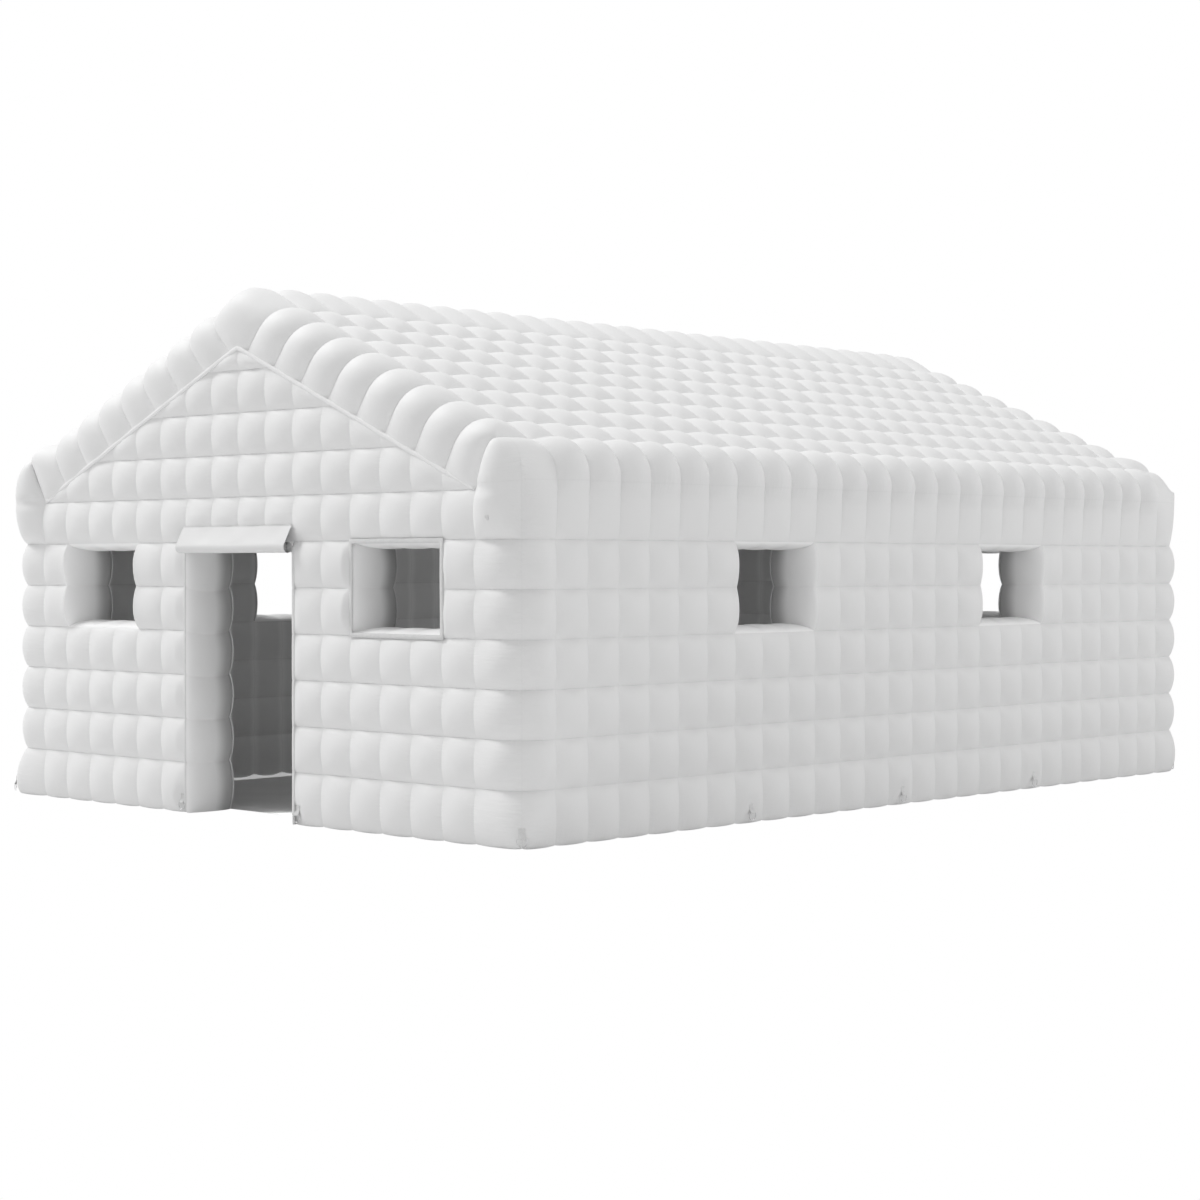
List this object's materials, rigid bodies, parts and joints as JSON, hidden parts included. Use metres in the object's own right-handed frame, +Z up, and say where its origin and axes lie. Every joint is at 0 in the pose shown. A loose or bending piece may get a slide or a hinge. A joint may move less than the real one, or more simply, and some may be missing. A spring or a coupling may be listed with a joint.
{
  "type": "inflatable tent",
  "caption": "House-shaped inflatable tent with quilted air walls, pitched roof, roll-up door curtain, window openings and anchor rings round its foot.",
  "frame": {"origin": "the middle of the ground sheet's underside, on the ground", "axes": "+Z up; -Y out of the front wall, which has the door; +Y along the length, to the back wall; +X to the right of someone who faces the door from outside"},
  "size_m": [6.1024, 8.7103, 4.034],
  "materials": {
    "outer_cloth": "matte",
    "lining_cloth": "matte",
    "sheet_cloth": "matte",
    "webbing": "matte",
    "ring_steel": "satin"
  },
  "bodies": {
    "tent": {"front_wall": "outer_cloth", "back_wall": "outer_cloth", "left_wall": "outer_cloth", "right_wall": "outer_cloth", "left_eave": "outer_cloth", "right_eave": "outer_cloth", "left_roof": "outer_cloth", "right_roof": "outer_cloth", "ridge": "outer_cloth", "front_rake": "outer_cloth", "back_rake": "outer_cloth", "front_lining": "lining_cloth", "back_lining": "lining_cloth", "left_lining": "lining_cloth", "right_lining": "lining_cloth", "left_ceiling": "lining_cloth", "right_ceiling": "lining_cloth", "door_reveal": "outer_cloth", "front_left_window_reveal": "outer_cloth", "front_right_window_reveal": "outer_cloth", "back_window_reveal": "outer_cloth", "left_front_window_reveal": "outer_cloth", "left_back_window_reveal": "outer_cloth", "right_front_window_reveal": "outer_cloth", "right_back_window_reveal": "outer_cloth", "front_baffles": "lining_cloth", "back_baffles": "lining_cloth", "left_baffles": "lining_cloth", "right_baffles": "lining_cloth", "left_roof_baffles": "lining_cloth", "right_roof_baffles": "lining_cloth", "base_cloth": "outer_cloth", "ground_sheet": "sheet_cloth", "door_header": "webbing", "door_curtain": "outer_cloth", "front_right_window_rim": "webbing"},
    "curtain_roll": {"door_roll": "outer_cloth"},
    "ring_front_left_corner": {"anchor_ring_front_left_corner": "ring_steel"},
    "ring_front_right_corner": {"anchor_ring_front_right_corner": "ring_steel"},
    "ring_back_left_corner": {"anchor_ring_back_left_corner": "ring_steel"},
    "ring_back_right_corner": {"anchor_ring_back_right_corner": "ring_steel"},
    "ring_door_left": {"anchor_ring_door_left": "ring_steel"},
    "ring_back_left": {"anchor_ring_back_left": "ring_steel"},
    "ring_left_front": {"anchor_ring_left_front": "ring_steel"},
    "ring_left_middle": {"anchor_ring_left_middle": "ring_steel"},
    "ring_left_back": {"anchor_ring_left_back": "ring_steel"},
    "ring_door_right": {"anchor_ring_door_right": "ring_steel"},
    "ring_back_right": {"anchor_ring_back_right": "ring_steel"},
    "ring_right_front": {"anchor_ring_right_front": "ring_steel"},
    "ring_right_middle": {"anchor_ring_right_middle": "ring_steel"},
    "ring_right_back": {"anchor_ring_right_back": "ring_steel"}
  },
  "joints": [
    {"name": "curtain_roll_down", "type": "slide", "parent": "tent", "child": "curtain_roll", "axis": [0, 0, -1], "range_m": [0, 1.97], "deforming": ["door_curtain"]},
    {"name": "swing_front_left_corner", "type": "hinge", "parent": "tent", "child": "ring_front_left_corner", "pos_m": [-3.00848, -4.27853, 0.0775], "axis": [-0.7071, 0.7071, 0], "range_deg": [-6, 120]},
    {"name": "swing_front_right_corner", "type": "hinge", "parent": "tent", "child": "ring_front_right_corner", "pos_m": [3.00848, -4.27853, 0.0775], "axis": [-0.7071, -0.7071, 0], "range_deg": [-6, 120]},
    {"name": "swing_back_left_corner", "type": "hinge", "parent": "tent", "child": "ring_back_left_corner", "pos_m": [-3.00848, 4.27853, 0.0775], "axis": [0.7071, 0.7071, 0], "range_deg": [-6, 120]},
    {"name": "swing_back_right_corner", "type": "hinge", "parent": "tent", "child": "ring_back_right_corner", "pos_m": [3.00848, 4.27853, 0.0775], "axis": [0.7071, -0.7071, 0], "range_deg": [-6, 120]},
    {"name": "swing_door_left", "type": "hinge", "parent": "tent", "child": "ring_door_left", "pos_m": [-0.69, -4.30297, 0.0775], "axis": [-1, 0, 0], "range_deg": [-25, 120]},
    {"name": "swing_back_left", "type": "hinge", "parent": "tent", "child": "ring_back_left", "pos_m": [-0.8, 4.31393, 0.0775], "axis": [1, 0, 0], "range_deg": [-25, 120]},
    {"name": "swing_left_front", "type": "hinge", "parent": "tent", "child": "ring_left_front", "pos_m": [-3.04388, -1.8978, 0.0775], "axis": [0, 1, 0], "range_deg": [-25, 120]},
    {"name": "swing_left_middle", "type": "hinge", "parent": "tent", "child": "ring_left_middle", "pos_m": [-3.04388, 0, 0.0775], "axis": [0, 1, 0], "range_deg": [-25, 120]},
    {"name": "swing_left_back", "type": "hinge", "parent": "tent", "child": "ring_left_back", "pos_m": [-3.04388, 1.8978, 0.0775], "axis": [0, 1, 0], "range_deg": [-25, 120]},
    {"name": "swing_door_right", "type": "hinge", "parent": "tent", "child": "ring_door_right", "pos_m": [0.69, -4.30297, 0.0775], "axis": [-1, 0, 0], "range_deg": [-25, 120]},
    {"name": "swing_back_right", "type": "hinge", "parent": "tent", "child": "ring_back_right", "pos_m": [0.8, 4.31393, 0.0775], "axis": [1, 0, 0], "range_deg": [-25, 120]},
    {"name": "swing_right_front", "type": "hinge", "parent": "tent", "child": "ring_right_front", "pos_m": [3.04388, -1.8978, 0.0775], "axis": [0, -1, 0], "range_deg": [-25, 120]},
    {"name": "swing_right_middle", "type": "hinge", "parent": "tent", "child": "ring_right_middle", "pos_m": [3.04388, 0, 0.0775], "axis": [0, -1, 0], "range_deg": [-25, 120]},
    {"name": "swing_right_back", "type": "hinge", "parent": "tent", "child": "ring_right_back", "pos_m": [3.04388, 1.8978, 0.0775], "axis": [0, -1, 0], "range_deg": [-25, 120]}
  ]
}
